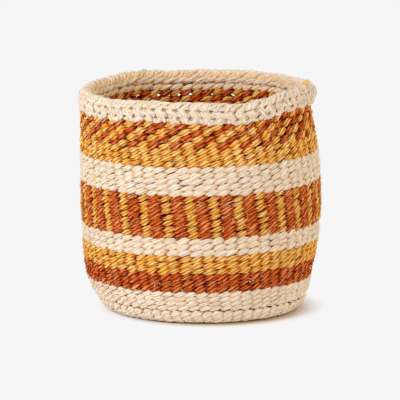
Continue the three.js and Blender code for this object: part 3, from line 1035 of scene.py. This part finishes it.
def buildRimCore():
    random = np.random.default_rng(rimCore["seed"])
    pale, shadeCords = [], []
    warp = np.arange(form["warps"] * 4) / 4
    for along in np.linspace(1.8 * mm, rimLength - 2 * mm, rimCore["cords"]):
        tubes = pale
        depth, tone = rimCore["plain"]
        for pit, reach, pitDepth, pitTone in rimCore["pits"]:
            if abs(along - pit) < reach:
                tubes = pale if pit == innerPit else shadeCords
                depth, tone = pitDepth, pitTone
        centres, outward = rimPlaces(warp, np.full_like(warp, along), depth)
        tubes.append(yarnTube(centres, outward, rimCore["halfOut"], rimCore["halfUp"], True, coreYarn,
                              random, rimCore["sunk"], tone))
    return pale, shadeCords


rimWraps, rimFolds, rimInner = buildRim()
rimCords, pitShadeCords = buildRimCore()
addPiece("rim_wrap_strands", rimWraps, naturalSisal, "rim_plait")
addPiece("rim_fold_strands", rimFolds, naturalSisal)
addPiece("rim_inner_strands", rimInner, naturalSisal)
addPiece("rim_core_cords", rimCords, naturalSisal)
addPiece("rim_pit_shade_cords", pitShadeCords, warpSisal, slot="natural_sisal")

# The plait's lapped end at the right: wraps that go up the outside and over, on top of the rest
join = {
    "seed": 62,
    "wraps": 5,
    "apart": 0.62,  # in warps
    "uneven": 0.35 * mm,
}


def buildJoin():
    random = np.random.default_rng(join["seed"])
    strands = []
    middle = (rim["joinAngle"] - mouthLean) / pitch
    for index in range(join["wraps"]):
        start = middle + (index - join["wraps"] / 2) * join["apart"]
        proud = random.normal(0, join["uneven"])
        lap = [
            (-0.4, 1.4 * mm, 3.2 * mm),
            (-0.15, 3.0 * mm, 1.0 * mm),
            (0.1, pitLow + 2 * mm, 0.3 * mm - proud),
            (0.45, pitTop + 1 * mm, 0.7 * mm - proud),
            (0.85, rimCrest, 1.1 * mm),
            (1.1, rimCrest + 4 * mm, 1.4 * mm),
            (1.25, rimCrest + 6 * mm, 3.0 * mm),
        ]
        strands += rimFold(random, start, lap, lapFold)
    return strands


addPiece("rim_join_strands", buildJoin(), naturalSisal, "rim_join")

# The cut end of an ochre yarn on top of the rim, frayed into its strands
yarnEnd = {
    "seed": 63,
    "strands": 9,
    "steps": 9,
    "height": 6.5 * mm,
    "spread": 2.4 * mm,
    "root": np.array([0, 0, 2.0 * mm]),  # how deep it stands in the rim
    "lean": (2.4 * mm, 0, 0.6 * mm),
    "halfThick": 0.62 * mm,
}
fibre = dict(yarn, plies=3, sidesPerPly=1, lay=30 * mm, patch=3 * mm, groove=0, rough=0.1, uneven=0,
             motley=0.1, flankShade=0)


def buildYarnEnd():
    random = np.random.default_rng(yarnEnd["seed"])
    low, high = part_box("ochre_yarn_end")
    foot = np.array([(low.x + high.x) / 2, (low.y + high.y) / 2, low.z]) - yarnEnd["root"]
    share = np.linspace(0, 1, yarnEnd["steps"])[:, None]
    kind = dict(fibre, plies=5, motley=0.25)
    strands = []
    for index in range(yarnEnd["strands"]):
        turn = index / yarnEnd["strands"] * fullTurn + random.normal(0, 0.3)
        aside = np.array([math.cos(turn), math.sin(turn), 0]) * yarnEnd["spread"] * random.uniform(0.35, 1)
        rise = np.array([0, 0, yarnEnd["height"] * random.uniform(0.6, 1.05)]) + yarnEnd["root"]
        line = foot + aside * 0.35 + rise * share + (aside + yarnEnd["lean"]) * share ** 2
        thick = yarnEnd["halfThick"] * (1.15 - 0.7 * share[:, 0] ** 2)
        outward = np.broadcast_to(unit(np.array([math.cos(turn), math.sin(turn), 0.1])), line.shape)
        tone = random.uniform(0.3, 1)
        strands.append(yarnTube(line, outward, thick, thick, False, kind, random, 0.0, tone))
    return strands


addPiece("ochre_yarn_end_strands", buildYarnEnd(), ochreSisal, "ochre_yarn_end")

# Single fibres that stand off the yarn
stripeZone = (middleTop, stripeTop)
aboveZone = (upperTop, checkerTop)
looseFibres = {
    "steps": 7,
    "root": 0.6 * mm,  # how deep they start
    "slant": math.radians(25),
    "slantSpread": math.radians(35),
    "rimSeed": 75,
    "rimCount": 420,
    "longLift": 1.2 * mm,
    "longHalfThick": 0.3 * mm,
    "sizes": {  # length, lift and half the thickness, and the shares of each between which the fibres vary
        "rim": [(5 * mm, 0.4, 1.3), (1.1 * mm, 0.2, 1.3), (0.14 * mm, 0.8, 1.3)],
        "fine": [(7 * mm, 0.4, 1.2), (0.9 * mm, 0.2, 1.3), (0.17 * mm, 0.7, 1.2)],
        "fleck": [(1.9 * mm, 0.4, 1.2), (0.4 * mm, 0.2, 1.3), (0.4 * mm, 0.7, 1.2)],
    },
    "sets": [  # name, seed, material, count, size, and the heights between which they are
        ("natural", 71, naturalSisal, 620, "fine",
         [(form["heelHeight"], footTop), (lowOchreTop, middleTop), (stripeTop, upperTop)]),
        ("pale", 72, naturalSisal, 30, "fine", [(footTop, lowOchreTop), stripeZone, aboveZone]),
        ("ochre", 73, ochreSisal, 420, "fine", [(rustTop, lowOchreTop), stripeZone, aboveZone]),
        ("rust", 74, rustSisal, 320, "fine", [(footTop, rustTop), stripeZone, (highOchreTop, checkerTop)]),
        ("flecks", 76, naturalSisal, 190, "fleck", [(footTop, rustTop), stripeZone]),
    ],
    "hairs": [  # long single hairs: degrees to the right of the front, height, slant and length
        (-9, 32 * mm, -42, 12 * mm), (3, 27 * mm, -80, 15 * mm), (28, 27 * mm, 25, 7 * mm),
        (45, 26 * mm, 20, 7 * mm), (12, 102 * mm, 60, 9 * mm), (30, 72 * mm, 25, 10 * mm),
        (-40, 128 * mm, 35, 8 * mm), (118, 90 * mm, 50, 13 * mm), (160, 40 * mm, -30, 12 * mm),
        (205, 120 * mm, 20, 14 * mm), (250, 60 * mm, 65, 12 * mm),
    ],
}


def fibreAt(random, angle, height, slant, length, lift, halfThick, onRim=False):
    share = np.linspace(0, 1, looseFibres["steps"])
    reach = share * length
    bend = random.normal(0, 0.5) * share * share * length
    up = math.sin(slant) * reach + math.cos(slant) * bend
    turns = angle + (math.cos(slant) * reach - math.sin(slant) * bend) / skin["bellyRadius"]
    arch = np.sin(share * random.uniform(1.2, 2.6)) ** 0.8
    depth = looseFibres["root"] - (lift + looseFibres["root"]) * arch
    thick = halfThick * (1 - 0.6 * share ** 2)
    if onRim:
        centres, outward = rimPlaces(turns / pitch, height + up, depth)
    else:
        along = alongAt(height) + up
        centres, outward = skinPlaces(turns, along, depth), skinOutward(turns, along)
    return yarnTube(centres, outward, thick, thick, False, fibre, random, 0.0, random.uniform(0.5, 1))


def fibreSize(random, kind):
    return [size * random.uniform(low, high) for size, low, high in looseFibres["sizes"][kind]]


def buildFibres(seed, count, kind, zones):
    random = np.random.default_rng(seed)
    spans = np.array([high - low for low, high in zones])
    fibres = []
    for zone in random.choice(len(spans), count, p=spans / spans.sum()):
        slant = random.normal(looseFibres["slant"], looseFibres["slantSpread"])
        fibres.append(fibreAt(random, random.uniform(0, fullTurn), random.uniform(*zones[zone]), slant,
                              *fibreSize(random, kind)))
    return fibres


def buildRimHairs():
    random = np.random.default_rng(looseFibres["rimSeed"])
    hairs = []
    for _ in range(looseFibres["rimCount"]):
        hairs.append(fibreAt(random, random.uniform(0, fullTurn), random.uniform(0.1, 0.9) * rimLength,
                             random.normal(0.9, 0.8), *fibreSize(random, "rim"), onRim=True))
    for degrees, height, slant, length in looseFibres["hairs"]:
        hairs.append(fibreAt(random, math.radians(degrees), height, math.radians(slant), length,
                             looseFibres["longLift"], looseFibres["longHalfThick"]))
    return hairs


addPiece("fibres_rim_and_long", buildRimHairs(), naturalSisal)
for name, seed, paint, count, kind, zones in looseFibres["sets"]:
    addPiece("fibres_" + name, buildFibres(seed, count, kind, zones), paint)

# Floor, light and camera
studio = {
    "background": (0.922, 0.922, 0.922, 1),
    "floorReach": 3.0,
    "floorColour": (0.92, 0.91, 0.90, 1),
    "contactShadowColour": (0.52, 0.33, 0.19, 1),  # painted contact shadow, brown, on the floor right under the foot
    "contactShadowMiddle": (7 * mm, -8 * mm),  # from the middle of the base
    "contactShadowStretch": 1.12,
    "contactShadowReach": (0.067, 0.097),
    "shadowMiddle": (6 * mm, -2 * mm),
    "shadowReach": (0.078, 0.099),  # metres from there, between which the shade on the floor fades out
    "floorFade": (0.15, 0.3),  # and between which the floor itself goes over into the background
    "worldStrength": 0.68,
    "lamps": [  # name, place, size, power and colour
        ("keyLight", (-1.64, -1.38, 1.28), 1.3, 38.5, (0.945, 1.0, 1.14)),
        ("fillLight", (1.87, -0.68, 1.02), 1.6, 15.5, (1.0, 0.915, 0.80)),
    ],
    "lookAt": (0.17 * mm, 0.23 * mm, 89.7 * mm),
    "elevation": math.radians(9.96),
    "distance": 5.0,
    "lens": 540,
    "sensor": 36,
}


def addAimed(name, data, place, direction):
    thing = addObject(name, data)
    thing.location = place
    thing.rotation_euler = Vector(direction).to_track_quat("-Z", "Y").to_euler()
    return thing


lookAt = np.array(studio["lookAt"])
for name, place, size, power, colour in studio["lamps"]:
    lamp = bpy.data.lights.new(name, "AREA")
    lamp.size = size
    lamp.energy = power
    lamp.color = colour
    addAimed(name, lamp, place, lookAt - place)


# One where the camera, a glossy surface or a clear one sees it, and nought for light that falls on things
def seenDirectly(tree):
    path = tree.nodes.new("ShaderNodeLightPath").outputs
    total = mathNode(tree, "ADD", path["Is Camera Ray"], path["Is Glossy Ray"])
    total = mathNode(tree, "ADD", total, path["Is Transmission Ray"])
    return mathNode(tree, "MINIMUM", total, 1.0)


world = bpy.data.worlds.new("studioWorld")
world.use_nodes = True
bpy.context.scene.world = world
sky = world.node_tree
sky.nodes.clear()
seen = addNode(sky, "ShaderNodeBackground", {"Color": studio["background"], "Strength": 1.0})[0]
white = {"Color": (1, 1, 1, 1), "Strength": studio["worldStrength"]}
lighting = addNode(sky, "ShaderNodeBackground", white)[0]
addNode(sky, "ShaderNodeOutputWorld", {0: mixShaders(sky, seenDirectly(sky), lighting, seen)})


# Nought near a place on the floor, and one past its reach
def farFrom(tree, middle, stretch, reach):
    place = tree.nodes.new("ShaderNodeNewGeometry").outputs["Position"]
    moved = vectorNode(tree, "SUBTRACT", place, (baseMiddle.x + middle[0], baseMiddle.y + middle[1], 0))[0]
    stretched = vectorNode(tree, "MULTIPLY", moved, (stretch, 1, 1))[0]
    return easedRange(tree, vectorNode(tree, "LENGTH", stretched)["Value"], *reach)


def buildFloor():
    mesh = bpy.data.meshes.new("studioFloor")
    far = studio["floorReach"]
    mesh.from_pydata([(-far, -far, 0), (far, -far, 0), (far, far, 0), (-far, far, 0)], [], [(0, 1, 2, 3)])
    floor = addObject("studioFloor", mesh)
    material, tree, shader = newMaterial("studioFloor")
    shader.inputs["Roughness"].default_value = 1.0
    shader.inputs["Specular IOR Level"].default_value = 0.0
    # Painted contact shadow: near the foot the floor turns brown where the camera sees it
    outsideContactShadow = farFrom(tree, studio["contactShadowMiddle"], studio["contactShadowStretch"], studio["contactShadowReach"])
    unseen = mathNode(tree, "SUBTRACT", 1.0, seenDirectly(tree))
    pale = mathNode(tree, "MAXIMUM", outsideContactShadow, unseen)  # the light that the floor throws back stays white
    colour = mixColours(tree, pale, studio["contactShadowColour"], studio["floorColour"])
    feed(tree, shader.inputs["Base Color"], colour)
    glow = addNode(tree, "ShaderNodeEmission", {"Color": studio["background"], "Strength": 1.0})[0]
    clear = tree.nodes.new("ShaderNodeBsdfTransparent").outputs[0]
    surface = shader.outputs[0]
    for reach, further in (("shadowReach", glow), ("floorFade", clear)):
        share = farFrom(tree, studio["shadowMiddle"], 1.0, studio[reach])
        share = mathNode(tree, "MULTIPLY", share, seenDirectly(tree))
        surface = mixShaders(tree, share, surface, further)
    feed(tree, tree.nodes["Material Output"].inputs[0], surface)
    mesh.materials.append(material)


buildFloor()

cameraData = bpy.data.cameras.new("mainCamera")
cameraData.lens = studio["lens"]
cameraData.sensor_width = studio["sensor"]
cameraData.clip_end = 50
back = np.array([0, -math.cos(studio["elevation"]), math.sin(studio["elevation"])])
camera = addAimed("mainCamera", cameraData, lookAt + back * studio["distance"], -back)
bpy.context.scene.camera = camera
bpy.context.scene.view_settings.view_transform = "Standard"
print("studio made")
